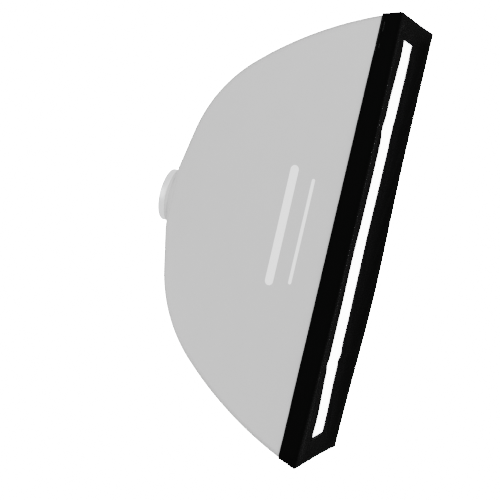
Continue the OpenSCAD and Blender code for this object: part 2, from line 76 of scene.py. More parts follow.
# Where the mask's cloth kept a fold from being stored, as heights.
OLD_FOLDS = (0.235, -0.258)
# Plain white bars on the left panel: depth, height, half length and half width of each.
PRINTED_BARS = ((-0.302, 0.003, 0.123, 0.009), (-0.347, 0.0005, 0.1075, 0.0035))


# Colours and nodes

def colour(text):
    """An sRGB hex colour as linear red, green, blue and alpha."""
    parts = [int(text[i:i + 2], 16) / 255 for i in (1, 3, 5)]
    linear = [c / 12.92 if c <= 0.04045 else ((c + 0.055) / 1.055) ** 2.4 for c in parts]
    return (*linear, 1.0)


def wire(tree, node, links):
    """Sets or links a node's inputs; a node given as a value stands for its first output."""
    for key, value in links.items():
        if isinstance(value, bpy.types.Node):
            value = value.outputs[0]
        if isinstance(value, bpy.types.NodeSocket):
            tree.links.new(value, node.inputs[key])
        else:
            node.inputs[key].default_value = value


def add(tree, kind, settings=None, links=None):
    """Adds a node, sets its properties, and sets or links its inputs."""
    made = tree.nodes.new(kind)
    for key, value in (settings or {}).items():
        setattr(made, key, value)
    wire(tree, made, links or {})
    return made


def surface(name, sockets):
    """A new material with its Principled shader set, its tree and that shader."""
    material = bpy.data.materials.new(name)
    material.use_nodes = True
    tree = material.node_tree
    shader = tree.nodes["Principled BSDF"]
    wire(tree, shader, sockets)
    return material, tree, shader


def vary(tree, vector, base, scale, amount):
    """The base colour, a little lighter and darker in patches."""
    patches = add(tree, "ShaderNodeTexNoise", None,
                  {"Vector": vector, "Scale": scale, "Detail": 3.0, "Roughness": 0.6})
    low, high = (tuple(min(1.0, c * k) for c in base[:3]) + (1.0,) for k in (1 - amount, 1 + amount))
    return add(tree, "ShaderNodeMix", {"data_type": "RGBA"},
               {"Factor": patches, 6: low, 7: high}).outputs[2]


def weave_height(tree, vector, pitch):
    """A plain weave: threads that pass over and under, with the given spacing."""
    scaled = add(tree, "ShaderNodeVectorMath", {"operation": "SCALE"},
                 {0: vector, "Scale": math.pi / pitch})
    parts = add(tree, "ShaderNodeSeparateXYZ", None, {0: scaled})
    warp, weft = (add(tree, "ShaderNodeMath", {"operation": "SINE"}, {0: parts.outputs[way]})
                  for way in (0, 1))
    crossing = add(tree, "ShaderNodeMath", {"operation": "MULTIPLY"}, {0: warp, 1: weft})
    return add(tree, "ShaderNodeMath", {"operation": "MULTIPLY_ADD"}, {0: crossing, 1: 0.5, 2: 0.5})


def rounded_bar(tree, place, depth, height, half_length, half_width):
    """1 inside an upright printed bar with round ends, 0 outside it."""
    parts = add(tree, "ShaderNodeSeparateXYZ", None, {0: place})
    across = add(tree, "ShaderNodeMath", {"operation": "SUBTRACT"}, {0: parts.outputs[1], 1: depth})
    along = add(tree, "ShaderNodeMath", {"operation": "SUBTRACT"}, {0: parts.outputs[2], 1: height})
    along = add(tree, "ShaderNodeMath", {"operation": "ABSOLUTE"}, {0: along})
    past = add(tree, "ShaderNodeMath", {"operation": "SUBTRACT"},
               {0: along, 1: half_length - half_width})
    past = add(tree, "ShaderNodeMath", {"operation": "MAXIMUM"}, {0: past, 1: 0.0})
    squares = [add(tree, "ShaderNodeMath", {"operation": "MULTIPLY"}, {0: way, 1: way})
               for way in (across, past)]
    apart = add(tree, "ShaderNodeMath", {"operation": "ADD"}, {0: squares[0], 1: squares[1]})
    apart = add(tree, "ShaderNodeMath", {"operation": "SQRT"}, {0: apart})
    return add(tree, "ShaderNodeMath", {"operation": "LESS_THAN"}, {0: apart, 1: half_width})


def fabric(name, base, pitch, roughness, sheen, depth, marks=(), glow=0.0, gloss=0.3):
    """Woven cloth: threads over and under, a soft sheen, faint patches and creases."""
    material, tree, shader = surface(name, {
        "Roughness": roughness, "Sheen Weight": sheen, "Sheen Roughness": 0.45,
        "Specular IOR Level": gloss, "IOR": 1.5})
    uv = add(tree, "ShaderNodeUVMap", {"uv_map": "UVMap"})
    tint = vary(tree, uv, base, 14.0, 0.025)
    for mark in marks:
        place = add(tree, "ShaderNodeTexCoord").outputs["Object"]
        tint = add(tree, "ShaderNodeMix", {"data_type": "RGBA"},
                   {"Factor": rounded_bar(tree, place, *mark), 6: tint,
                    7: colour("#FBFBFB")}).outputs[2]
    threads = add(tree, "ShaderNodeBump", None,
                  {"Height": weave_height(tree, uv, pitch), "Strength": 0.35, "Distance": depth})
    creases = add(tree, "ShaderNodeTexNoise", None,
                  {"Vector": uv, "Scale": 35.0, "Detail": 4.0, "Roughness": 0.5})
    relief = add(tree, "ShaderNodeBump", None, {"Height": creases, "Strength": 0.12,
                                                "Distance": 0.4 * MM, "Normal": threads})
    wire(tree, shader, {"Base Color": tint, "Normal": relief})
    # Painted light: the cloth glows evenly white, in place of a lamp shining through it.
    if glow:
        wire(tree, shader, {"Emission Color": colour("#FFFFFF"), "Emission Strength": glow})
    return material


def pile(name, base, spacing, roughness, depth):
    """Hook or loop tape: a field of tiny loops that scatter the light."""
    material, tree, shader = surface(name, {"Roughness": roughness, "Specular IOR Level": 0.08})
    uv = add(tree, "ShaderNodeUVMap", {"uv_map": "UVMap"})
    loops = add(tree, "ShaderNodeTexVoronoi", {"feature": "F1"},
                {"Vector": uv, "Scale": 1 / spacing, "Randomness": 0.7})
    relief = add(tree, "ShaderNodeBump", None, {"Height": loops, "Strength": 0.8, "Distance": depth})
    wire(tree, shader, {"Base Color": vary(tree, uv, base, 300.0, 0.12), "Normal": relief})
    return material


def ribbed(name, base, spacing, roughness, depth):
    """Elastic or strap webbing: ribs across the band."""
    material, tree, shader = surface(name, {"Roughness": roughness, "Sheen Weight": 0.2})
    uv = add(tree, "ShaderNodeUVMap", {"uv_map": "UVMap"})
    parts = add(tree, "ShaderNodeSeparateXYZ", None, {0: uv})
    angle = add(tree, "ShaderNodeMath", {"operation": "MULTIPLY"},
                {0: parts.outputs[1], 1: 2 * math.pi / spacing})
    ribs = add(tree, "ShaderNodeMath", {"operation": "SINE"}, {0: angle})
    relief = add(tree, "ShaderNodeBump", None, {"Height": ribs, "Strength": 0.5, "Distance": depth})
    wire(tree, shader, {"Base Color": vary(tree, uv, base, 120.0, 0.06), "Normal": relief})
    return material


def moulded(name, base, roughness, grit, depth, coat=0.0):
    """Plastic or rubber: a fine moulded texture and slightly uneven gloss."""
    material, tree, shader = surface(name, {"Roughness": roughness, "IOR": 1.5,
                                            "Coat Weight": coat, "Coat Roughness": 0.12})
    place = add(tree, "ShaderNodeTexCoord").outputs["Object"]
    grain = add(tree, "ShaderNodeTexNoise", None,
                {"Vector": place, "Scale": 1 / grit, "Detail": 3.0, "Roughness": 0.6})
    gloss = add(tree, "ShaderNodeMapRange", None,
                {0: grain, 3: roughness - 0.08, 4: roughness + 0.1})
    relief = add(tree, "ShaderNodeBump", None, {"Height": grain, "Strength": 0.3, "Distance": depth})
    wire(tree, shader, {"Base Color": vary(tree, place, base, 90.0, 0.08), "Roughness": gloss,
                        "Normal": relief})
    return material


def metal(name, base, roughness, stretch, spacing, depth):
    """Bare or plated metal: tool marks drawn out along the way it was worked."""
    material, tree, shader = surface(name, {"Metallic": 1.0, "Roughness": roughness})
    place = add(tree, "ShaderNodeTexCoord").outputs["Object"]
    drawn = add(tree, "ShaderNodeMapping", None, {0: place, 3: stretch})
    marks = add(tree, "ShaderNodeTexNoise", None,
                {"Vector": drawn, "Scale": 1 / spacing, "Detail": 4.0, "Roughness": 0.65})
    gloss = add(tree, "ShaderNodeMapRange", None,
                {0: marks, 3: roughness - 0.1, 4: roughness + 0.12})
    relief = add(tree, "ShaderNodeBump", None, {"Height": marks, "Strength": 0.25, "Distance": depth})
    wire(tree, shader, {"Base Color": vary(tree, place, base, 60.0, 0.04), "Roughness": gloss,
                        "Normal": relief})
    return material


def finishes():
    """Every finish of the softbox, by name; made once and then looked up."""
    if "shell nylon" in bpy.data.materials:
        return bpy.data.materials
    tint = bpy.context.scene.softbox_colours
    size = bpy.context.scene.softbox_sizes
    # Shell: heavy coated nylon, woven, dull and even. Threads of about 0.4 mm are
    # too fine to show, so they are drawn at the size set for the weave.
    fabric("shell nylon", tint.shell, size.weave, 0.82, 0.10, 0.10 * MM)
    fabric("printed shell nylon", tint.shell, size.weave, 0.82, 0.10, 0.10 * MM, PRINTED_BARS)
    # Lining: aluminised cloth, pressed, which gives a broad bright sheen.
    tree, shader = surface("silver lining", {"Metallic": 0.85, "Roughness": 0.38})[1:]
    uv = add(tree, "ShaderNodeUVMap", {"uv_map": "UVMap"})
    relief = add(tree, "ShaderNodeBump", None, {"Height": weave_height(tree, uv, 2 * MM),
                                                "Strength": 0.6, "Distance": 0.15 * MM})
    wire(tree, shader, {"Base Color": vary(tree, uv, colour("#C9CBCD"), 80.0, 0.05),
                        "Normal": relief})
    # Mask: dense black polyester, woven; it swallows nearly all light.
    fabric("mask polyester", tint.mask, 0.9 * MM, 0.95, 0.0, 0.12 * MM, gloss=0.01)
    # Diffuser: white translucent nylon, woven; the light coming through it is painted, as an even white
    # glow of the cloth.
    fabric("diffuser nylon", tint.diffuser, 0.7 * MM, 0.7, 0.1, 0.05 * MM, glow=size.glow)
    fabric("baffle nylon", tint.diffuser, 0.7 * MM, 0.7, 0.1, 0.05 * MM)
    # Tapes: nylon hooks and loops, 0.8 mm apart, which look like fuzz.
    pile("hook tape", colour("#0B0B0B"), 0.8 * MM, 0.7, 0.3 * MM)
    pile("loop tape", colour("#EDEDED"), 0.8 * MM, 0.85, 0.4 * MM)
    # Webbing: ribbed elastic and strap, woven narrow, with a rib each 1.2 mm.
    ribbed("white elastic", colour("#EBEBEB"), 1.2 * MM, 0.75, 0.2 * MM)
    ribbed("grey webbing", colour("#B4B4B4"), 1.2 * MM, 0.7, 0.2 * MM)
    # Thread: bonded polyester, twisted, with a little gloss.
    moulded("grey thread", colour("#BDBDBD"), 0.5, 0.4 * MM, 0.05 * MM)
    moulded("black thread", colour("#101010"), 0.5, 0.4 * MM, 0.05 * MM)
    moulded("white thread", colour("#F2F2F2"), 0.5, 0.4 * MM, 0.05 * MM)
    # Bearing: white nylon, turned, waxy.
    moulded("bearing nylon", colour("#ECECE8"), 0.42, 0.5 * MM, 0.03 * MM)
    # Knobs: black ABS, moulded with a fine spark texture.
    moulded("knob ABS", colour("#151515"), 0.48, 0.35 * MM, 0.06 * MM)
    # Sockets: glass-filled nylon, moulded, a little rougher than the knobs.
    moulded("socket nylon", colour("#202022"), 0.55, 0.5 * MM, 0.08 * MM)
    # Liner and brake pad: black rubber, moulded, matte.
    moulded("liner rubber", colour("#121212"), 0.75, 0.6 * MM, 0.08 * MM)
    # Rods: drawn fibreglass in clear resin, so a dark core under a glossy coat.
    moulded("fibreglass", colour("#2A2A2C"), 0.35, 1.5 * MM, 0.03 * MM, coat=0.6)
    # Adapter: aluminium, turned round the light axis, satin anodised silver.
    metal("turned aluminium", tint.adapter, 0.34, (1.0, 60.0, 1.0), 8 * MM, 0.02 * MM)
    # Ring and brackets: aluminium, cast and tumbled, with a fine open grain.
    metal("cast aluminium", colour("#BDBEC1"), 0.48, (1.0, 1.0, 1.0), 1.2 * MM, 0.06 * MM)
    # Fasteners: steel, machined and zinc plated, greyish with streaks.
    metal("zinc steel", colour("#8E9095"), 0.4, (1.0, 1.0, 12.0), 3 * MM, 0.02 * MM)
    return bpy.data.materials


# Mesh helpers

def smooth(x):
    """0 below 0, 1 above 1, and an easy curve between."""
    x = min(1.0, max(0.0, x))
    return x * x * (3 - 2 * x)


def grid(place, across, along, uv=None, round_it=False, closed=False):
    """A bmesh grid whose corners place(u, t) puts in space, with u and t from 0 to 1.
    round_it joins the sides u=0 and u=1, closed the ends t=0 and t=1."""
    bm = bmesh.new()
    bmesh.ops.create_grid(bm, x_segments=across, y_segments=along, size=1)
    layer = bm.loops.layers.uv.new("UVMap")
    where = {v: ((v.co.x + 1) / 2, (v.co.y + 1) / 2) for v in bm.verts}
    for face in bm.faces:
        for loop in face.loops:
            loop[layer].uv = (uv or (lambda u, t: (u, t)))(*where[loop.vert])
    for vert, (u, t) in where.items():
        vert.co = place(u, t)
    if round_it or closed:
        bmesh.ops.remove_doubles(bm, verts=bm.verts, dist=1e-6)
    return bm


def along_path(points, ups, closed=False):
    """Frames (point, across, out) along a path, given which way is out at each point."""
    count = len(points)
    frames = []
    for i, point in enumerate(points):
        after = points[(i + 1) % count] if closed else points[min(i + 1, count - 1)]
        before = points[i - 1] if closed else points[max(i - 1, 0)]
        tangent = (after - before).normalized()
        across = tangent.cross(ups[i]).normalized()
        frames.append((point, across, across.cross(tangent).normalized()))
    return frames


def sweep(frames, outline, closed=False):
    """A bmesh of an outline, (across, out) pairs, drawn along frames of a path."""
    sides, count = len(outline), len(frames)
    steps = count if closed else count - 1
    run = [0.0]
    for i in range(steps):
        run.append(run[-1] + (frames[(i + 1) % count][0] - frames[i][0]).length)

    def place(u, t):
        point, across, out = frames[round(t * steps) % count]
        a, o = outline[round(u * sides) % sides]
        return point + across * a + out * o

    width = sum((Vector(outline[i]) - Vector(outline[i - 1])).length for i in range(sides))
    bm = grid(place, sides, steps, lambda u, t: (u * width, run[round(t * steps)]),
              round_it=True, closed=closed)
    if not closed:
        bmesh.ops.holes_fill(bm, edges=[e for e in bm.edges if e.is_boundary], sides=0)
    bmesh.ops.recalc_face_normals(bm, faces=bm.faces)
    return bm


def circle(radius):
    """A round outline for sweep, with ten sides."""
    turns = [2 * math.pi * i / 10 for i in range(10)]
    return [(radius * math.cos(a), radius * math.sin(a)) for a in turns]


def band(width, thick):
    """A flat outline for sweep with cut corners, standing on its inner face."""
    w, c = width / 2, 0.3 * thick
    return [(-w + c, 0), (w - c, 0), (w, c), (w, thick - c),
            (w - c, thick), (-w + c, thick), (-w, thick - c), (-w, c)]


def join(target, source):
    """Moves one bmesh's geometry into another."""
    held = bpy.data.meshes.new("held")
    source.to_mesh(held)
    source.free()
    target.from_mesh(held)
    bpy.data.meshes.remove(held)


def finish_piece(name, bm, finish, body, nodes=(), inner=None, sharp=35):
    """Makes a bmesh an object with its finish, which moves with a body."""
    mesh = bpy.data.meshes.new(name)
    bm.to_mesh(mesh)
    bm.free()
    for material in filter(None, (finish, inner)):
        mesh.materials.append(finishes()[material])
    mesh.polygons.foreach_set("use_smooth", [True] * len(mesh.polygons))
    mesh.set_sharp_from_angle(angle=math.radians(sharp))
    piece = bpy.data.objects.new(name, mesh)
    bpy.context.scene.collection.objects.link(piece)
    if body:
        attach(piece, body)
    if nodes:
        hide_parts(*nodes)
    return piece


def thicken(piece, thick, inner=False):
    """Gives a sheet its thickness, inward, with the second finish inside if asked."""
    made = piece.modifiers.new("Cloth thickness", "SOLIDIFY")
    made.thickness = thick
    made.offset = -1
    made.use_even_offset = True
    made.material_offset = 1 if inner else 0
    made.material_offset_rim = 0


def spaced(points, step):
    """Points and directions at even steps along a path."""
    found, left = [], step / 2
    for a, b in zip(points, points[1:]):
        length = (b - a).length
        while length > 0 and left <= length:
            found.append((a.lerp(b, left / length), (b - a).normalized()))
            left += step
        left -= length
    return found


def stitch_row(name, paths, surface_piece, finish, body, pitch):
    """Rows of thread: each stitch is a small grain that lies on the cloth."""
    bm = bmesh.new()
    for path in paths:
        for point, along in spaced(path, pitch):
            found, spot, normal, _ = surface_piece.closest_point_on_mesh(point)
            if not found:
                continue
            across = along.cross(normal).normalized()
            turn = Matrix((along, across, normal)).transposed().to_4x4()
            size = Matrix.Diagonal((0.36 * pitch, 0.36 * MM, 0.3 * MM, 1))
            bmesh.ops.create_icosphere(
                bm, subdivisions=1, radius=1,
                matrix=Matrix.Translation(spot + normal * 0.1 * MM) @ turn @ size)
    return finish_piece(name, bm, finish, body, sharp=80)


def settle(piece, pinned, frames, cap, gravity=1.0, shrink=0.0):
    """Lets the cloth hang from its pinned points, then fixes the shape it takes."""
    mesh = piece.data
    rest = [v.co.copy() for v in mesh.vertices]
    group = piece.vertex_groups.new(name="held")
    for v in mesh.vertices:
        weight = pinned(v.co)
        if weight > 0:
            group.add([v.index], weight, "REPLACE")
    cloth = piece.modifiers.new("Cloth", "CLOTH")
    cloth.settings.quality = 5
    cloth.settings.mass = 0.15
    cloth.settings.tension_stiffness = cloth.settings.compression_stiffness = 15.0
    cloth.settings.shear_stiffness = 5.0
    cloth.settings.bending_stiffness = 0.6
    cloth.settings.vertex_group_mass = "held"
    cloth.settings.pin_stiffness = 1.0
    cloth.settings.shrink_min = shrink
    cloth.settings.effector_weights.gravity = gravity
    cloth.point_cache.frame_start, cloth.point_cache.frame_end = 1, frames
    scene = bpy.context.scene
    for number in range(1, frames + 1):
        scene.frame_set(number)
    shape = piece.evaluated_get(bpy.context.evaluated_depsgraph_get()).to_mesh()
    moved = [v.co.copy() for v in shape.vertices]
    piece.modifiers.remove(cloth)
    piece.vertex_groups.remove(group)
    scene.frame_set(1)
    for v, start, end in zip(mesh.vertices, rest, moved):
        way = end - start
        v.co = start + way * min(1.0, cap / max(way.length, 1e-9))
    mesh.update()


# The shell's shape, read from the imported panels

def half_sizes(node, depth):
    """Half-width and half-height of a node at a depth."""
    near = [v.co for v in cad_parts[node].data.vertices if abs(v.co.y - depth) < 0.6 * MM]
    return max(p.x for p in near), max(p.z for p in near)


def read_seam():
    """The +X +Z seam from rear to rim: half-width, depth and half-height."""
    wide, tall = {}, {}
    for node, axis, rows in (("shell_right", 0, wide), ("shell_top", 2, tall)):
        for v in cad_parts[node].data.vertices:
            y = round(v.co.y, 4)
            rows[y] = max(rows.get(y, 0.0), v.co[axis])
    return [Vector((wide[y], y, tall[y])) for y in sorted(set(wide) & set(tall), reverse=True)]


SEAM = read_seam()
RUN = [0.0]
for near_end, far_end in zip(SEAM, SEAM[1:]):
    RUN.append(RUN[-1] + (far_end - near_end).length)
RIM = SEAM[-1]
MASK_LOW, MASK_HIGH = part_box("mask_face")
SKIRT_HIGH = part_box("mask_skirt")[1]
COLLAR_LOW, COLLAR_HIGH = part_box("rear_collar")


def seam(t):
    """A point of the seam at share t of its length, on a smooth curve through its points."""
    s = min(1.0, max(0.0, t)) * RUN[-1]
    i = max(k for k in range(len(RUN) - 1) if RUN[k] <= s)
    f = (s - RUN[i]) / (RUN[i + 1] - RUN[i])
    p1, p2 = SEAM[i], SEAM[i + 1]
    p0 = SEAM[i - 1] if i else p1 * 2 - p2
    p3 = SEAM[i + 2] if i + 2 < len(SEAM) else p2 * 2 - p1
    return 0.5 * (2 * p1 + (p2 - p0) * f + (2 * p0 - 5 * p1 + 4 * p2 - p3) * f * f
                  + (3 * p1 - p0 - 3 * p2 + p3) * f * f * f)


def share_at(depth):
    """The share of the seam's length at a depth."""
    low, high = 0.0, 1.0
    for _ in range(24):
        middle = (low + high) / 2
        if seam(middle).y > depth:
            low = middle
        else:
            high = middle
    return (low + high) / 2


def bowed(p):
    """A point near the rim, moved as the long edges bow: out and forward at mid-height."""
    size = bpy.context.scene.softbox_sizes
    near = smooth((-p.y - 0.34) / (-0.34 - RIM.y))
    middle = max(0.0, 1 - (p.z / RIM.z) ** 2)
    share = max(-1.0, min(1.0, p.x / RIM.x))
    reach = middle * size.bow_forward
    if share > 0:
        # The right edge is strung slacker: it stands forward, most of all below the middle.
        reach = size.slack + 1.1 * size.bow_forward * math.exp(-((p.z + 0.12) / 0.2) ** 2)
    return Vector((p.x + near * middle * share * size.bow_out,
                   p.y - near * share * share * reach, p.z))


def ripple(a, b, c, scale):
    """Smooth seeded noise from -1 to 1."""
    return noise.noise(Vector((a, b, c)) / scale)


def panel_point(u, t, side, end, pull):
    """A point of a panel: u from -1 to 1 across it, t along its seams."""
    p = seam(t)
    flat = 1 - u * u
    # The lip is doubled and taped, so the panel only starts to sink behind it.
    free = smooth((p.y - RIM.y - LIP_DEPTH) / (70 * MM))
    sink = pull * flat ** 0.8 * math.sin(math.pi * min(1.0, t) ** 0.8) ** 1.2 * free
    # Folds that fan out from the ring, and faint unevenness all over.
    fan = 1.4 * MM * math.exp(-t / 0.10) * smooth(t / 0.02) * flat * math.sin(17 * u + 5 * end)
    broad = 1.3 * MM * flat * ripple(u * 3, t * 4, 7.3 + side + 3 * end, 1.0) * free
    sink -= (fan + broad) * smooth(t / 0.03)
    if side:
        return bowed(Vector((side * (p.x - sink), p.y, u * p.z)))
    return bowed(Vector((u * p.x, p.y, end * (p.z - sink))))


# Pieces


def make_shell():
    """Four panels of coated nylon, pulled taut between the seams by the rods."""
    size = bpy.context.scene.softbox_sizes
    for name, (side, end) in SIDES.items():
        pull = size.side_pull if side else size.end_pull
        across = 96 if side else 44

        def place(u, t, side=side, end=end, pull=pull):
            return panel_point(2 * u - 1, t, side, end, pull)

        def flat(u, t, side=side):
            p = seam(t)
            return ((2 * u - 1) * (p.z if side else p.x), t * RUN[-1])

        bm = grid(place, across, 84, flat)
        if side < 0 or end > 0:
            bmesh.ops.reverse_faces(bm, faces=bm.faces)
        finish = "printed shell nylon" if name == "left" else "shell nylon"
        piece = finish_piece("panel_" + name, bm, finish, "frame", ("shell_" + name,),
                             "silver lining", 60)

        def held(co, side=side, end=end):
            t = share_at(co.y)
            p = seam(t)
            edge = (p.z - abs(co.z)) if side else (p.x - abs(co.x))
            return 1.0 if edge < 3 * MM or t < 0.02 or co.y < RIM.y + LIP_DEPTH + 2 * MM else 0.0

        settle(piece, held, 10, 3 * MM, gravity=0.3, shrink=0.004)
        thicken(piece, FABRIC, inner=True)


def corner(t, sx, sz, out=0.0):
    """A point of one of the four seams, moved outward from the box's middle."""
    p = seam(t)
    away = Vector((sx * p.x, 0, sz * p.z)).normalized()
    return bowed(Vector((sx * p.x, p.y, sz * p.z)) + away * out)


def make_seams():
    """Piped seams where the panels meet, and their top-stitching."""
    size = bpy.context.scene.softbox_sizes
    bm = bmesh.new()
    for sx, sz in CORNERS.values():
        points = [corner(i / 90, sx, sz, 0.2 * size.piping) for i in range(91)]
        ups = [Vector((sx * 0.7, 0.0, sz * 0.7)) for _ in points]
        join(bm, sweep(along_path(points, ups), circle(size.piping / 2)))
    finish_piece("seam_piping", bm, "grey webbing", "frame")
    for name, (side, end) in SIDES.items():
        paths = []
        for way in (-1, 1):
            for inset in (5 * MM, 8 * MM) if side else (5 * MM,):
                points = [seam(i / 90) for i in range(4, 87)]
                paths.append([Vector((side * p.x, p.y, way * (p.z - inset))) if side else
                              Vector((way * (p.x - inset), p.y, end * p.z)) for p in points])
        stitch_row("seam_stitches_" + name, paths, bpy.data.objects["panel_" + name],
                   "grey thread", "frame", size.stitch)


def around(t, square_share, radius, half_x, half_z):
    """A point at turn t of a loop that changes from a circle to a rectangle."""
    # Eight equal runs of turns, so that a point always falls on each corner of the rectangle.
    run = (t * 8) % 8
    eighth, along = int(run), run - int(run)
    tilt = math.atan2(half_z, half_x)
    stops = (0, tilt, math.pi / 2, math.pi - tilt, math.pi, math.pi + tilt, 1.5 * math.pi,
             2 * math.pi - tilt, 2 * math.pi)
    angle = stops[eighth] + (stops[eighth + 1] - stops[eighth]) * along
    c, s = math.cos(angle), math.sin(angle)
    reach = min(half_x / max(abs(c), 1e-6), half_z / max(abs(s), 1e-6))
    return Vector((radius * c, 0, radius * s)).lerp(Vector((reach * c, 0, reach * s)), square_share)


def make_collar():
    """The shell's rear sleeve: gathered by a strap on the hub, square where the panels start."""
    rear, front = COLLAR_HIGH.y, COLLAR_LOW.y
    radius = min(COLLAR_HIGH.x, HUB_RADIUS + 0.2 * MM)
    start = SEAM[0]

    def place(u, t):
        y = rear + (front - rear) * t
        change = smooth((t - 0.38) / 0.62)
        p = around(u, change, radius, start.x, start.z)
        # Gathers stand out on both sides of the strap and fade into the flat of the sleeve.
        folds = math.sin(2 * math.pi * 38 * u) * 0.65 + math.sin(2 * math.pi * 61 * u + 1.3) * 0.35
        depth = 0.5 * MM * math.exp(-((t - 0.02) / 0.12) ** 2)
        depth += 1.3 * MM * math.exp(-((t - 0.6) / 0.16) ** 2)
        out = p.normalized() * (0.5 * MM * (1 - change) + 0.2 * depth)
        y -= folds * 0.8 * depth * smooth((t - 0.4) / 0.2)
        return p + out * (1 + 0.5 * folds) + Vector((0, y, 0))

    bm = grid(place, 312, 26, lambda u, t: (u * 0.4, t * 0.03), round_it=True)
    # The sleeve leaves a hole for the lock screw's boss.
    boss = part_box("lock_knob")
    middle = Vector((0.06, (boss[0].y + boss[1].y) / 2, 0))
    gone = [f for f in bm.faces if f.calc_center_median().x > 0
            and (f.calc_center_median() - middle).length < 8.2 * MM]
    bmesh.ops.delete(bm, geom=gone, context="FACES")
    bmesh.ops.recalc_face_normals(bm, faces=bm.faces)
    piece = finish_piece("rear_collar_sleeve", bm, "shell nylon", "frame", ("rear_collar",),
                         "silver lining", 70)
    thicken(piece, FABRIC, inner=True)

    # The strap that cinches the sleeve, with its buckle and loose end.
    low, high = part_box("cinch_strap")
    y = (low.y + high.y) / 2
    r = high.x - 1.4 * MM
    turns = [2 * math.pi * i / 128 for i in range(128)]
    points = [Vector((r * math.cos(a), y, r * math.sin(a))) for a in turns]
    ups = [Vector((math.cos(a), 0, math.sin(a))) for a in turns]
    bm = sweep(along_path(points, ups, True), band(high.y - low.y, 1.4 * MM), closed=True)
    tail = [math.radians(-58 + 3 * i) for i in range(12)]
    lift = [1.5 * MM + 0.12 * MM * i for i in range(12)]
    points = [Vector(((r + h) * math.cos(a), y, (r + h) * math.sin(a))) for a, h in zip(tail, lift)]
    join(bm, sweep(along_path(points, [Vector((math.cos(a), 0, math.sin(a))) for a in tail]),
                   band(5.5 * MM, 1.1 * MM)))
    finish_piece("cinch_band", bm, "grey webbing", "frame", ("cinch_strap",))
    bm = bmesh.new()
    angle = math.radians(-62)
    turn = Matrix.Rotation(-angle, 4, "Y") @ Matrix.Translation((r + 3 * MM, y, 0))
    bmesh.ops.create_cube(bm, size=1, matrix=turn @ Matrix.Diagonal((2.4 * MM, 10 * MM, 13 * MM, 1)))
    bmesh.ops.bevel(bm, geom=bm.edges[:], offset=0.7 * MM, offset_type="OFFSET", affect="EDGES",
                    segments=3, profile=0.5, material=-1)
    lever = bmesh.new()
    place_lever = turn @ Matrix.Translation((1.8 * MM, 0, 1 * MM)) @ Matrix.Rotation(0.12, 4, "Y")
    shape = Matrix.Diagonal((1.4 * MM, 7.4 * MM, 10 * MM, 1))
    bmesh.ops.create_cube(lever, size=1, matrix=place_lever @ shape)
    bmesh.ops.bevel(lever, geom=lever.edges[:], offset=0.5 * MM, offset_type="OFFSET",
                    affect="EDGES", segments=3, profile=0.5, material=-1)
    join(bm, lever)
    finish_piece("cinch_buckle", bm, "knob ABS", "frame")


def lip_loop(depth, gap):
    """Frames round the inside of the rim at a depth, square to the sloping wall."""
    p, behind, ahead = (seam(share_at(depth + shift)) for shift in (0, 8 * MM, -8 * MM))
    slope_x, slope_z = ((ahead[i] - behind[i]) / (behind.y - ahead.y) for i in (0, 2))
    half_x, half_z = p.x - 1.06 * (FABRIC + gap), p.z - 1.06 * (FABRIC + gap)
    r = 2.5 * MM
    points, ups = [], []

    def put(point, angle):
        away = Vector((math.cos(angle), 0, math.sin(angle)))
        slope = abs(away.x) * slope_x + abs(away.z) * slope_z
        points.append(bowed(point + away * r))
        ups.append((Vector((0, -slope, 0)) - away).normalized())

    corners = [Vector((sx * (half_x - r), depth, sz * (half_z - r)))
               for sx, sz in ((1, 1), (-1, 1), (-1, -1), (1, -1))]
    for i, centre in enumerate(corners):
        for k in range(5):
            put(centre, math.radians(90 * i + 22.5 * k))
        beyond = corners[(i + 1) % 4]
        count = 40 if i % 2 else 13
        for k in range(1, count):
            put(centre.lerp(beyond, k / count), math.radians(90 * (i + 1)))
    return along_path(points, ups, True)


def make_lip():
    """What is sewn inside the rim: the folded binding, the hook tape and the loop tape."""
    low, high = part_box("rim_binding")
    thick = 0.9 * MM
    wide = high.y - low.y
    outline = [(-wide / 2, 0), (wide / 2, 0), (wide / 2, thick), (wide / 2 - 0.5 * MM, 1.15 * thick),
               (-wide / 2 + 0.5 * MM, 1.15 * thick), (-wide / 2, thick)]
    bm = sweep(lip_loop((low.y + high.y) / 2, 0.35 * MM), outline, closed=True)
    finish_piece("rim_binding_tape", bm, "grey webbing", "frame", ("rim_binding",))
    for node, gap, finish, slot in (("lip_hook_tape", 0.25 * MM, "hook tape", "hook_tape"),
                                    ("diffuser_loop_tape", 1.35 * MM, "loop tape", "loop_tape")):
        low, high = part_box(node)
        bm = sweep(lip_loop((low.y + high.y) / 2, gap), band(high.y - low.y, 0.9 * MM), closed=True)
        finish_piece(node + "_band", bm, finish, "frame", (node,))


def make_diffuser():
    """The front diffuser: one white sheet with a turned border, pressed onto the lip."""
    low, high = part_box("front_diffuser")

    def place(u, t):
        x, z = (2 * u - 1) * high.x, (2 * t - 1) * high.z
        slack = (1 - (2 * u - 1) ** 2) * (1 - (2 * t - 1) ** 6)
        y = high.y - 0.6 * MM * slack * (1 + 0.6 * ripple(x, z, 4.2, 0.09))
        return bowed(Vector((x, y, z)))

    bm = grid(place, 48, 144, lambda u, t: (u * 2 * high.x, t * 2 * high.z))
    piece = finish_piece("diffuser_sheet", bm, "diffuser nylon", "frame", ("front_diffuser",),
                         sharp=60)

    def held(co):
        return 1.0 if min(high.x - abs(co.x), high.z - abs(co.z)) < 8 * MM else 0.0

    settle(piece, held, 10, 1.0 * MM, gravity=0.4)
    thicken(piece, 0.5 * MM)
    size = bpy.context.scene.softbox_sizes
    inset = 22 * MM
    x, z = high.x - inset, high.z - inset
    loop = [Vector((sx * x, low.y, sz * z)) for sx, sz in ((-1, -1), (1, -1), (1, 1), (-1, 1), (-1, -1))]
    path = []
    for a, b in zip(loop, loop[1:]):
        path += [bowed(a.lerp(b, k / 60)) for k in range(60)]
    stitch_row("diffuser_stitches", [path + path[:1]], piece, "white thread", "frame",
               size.stitch)


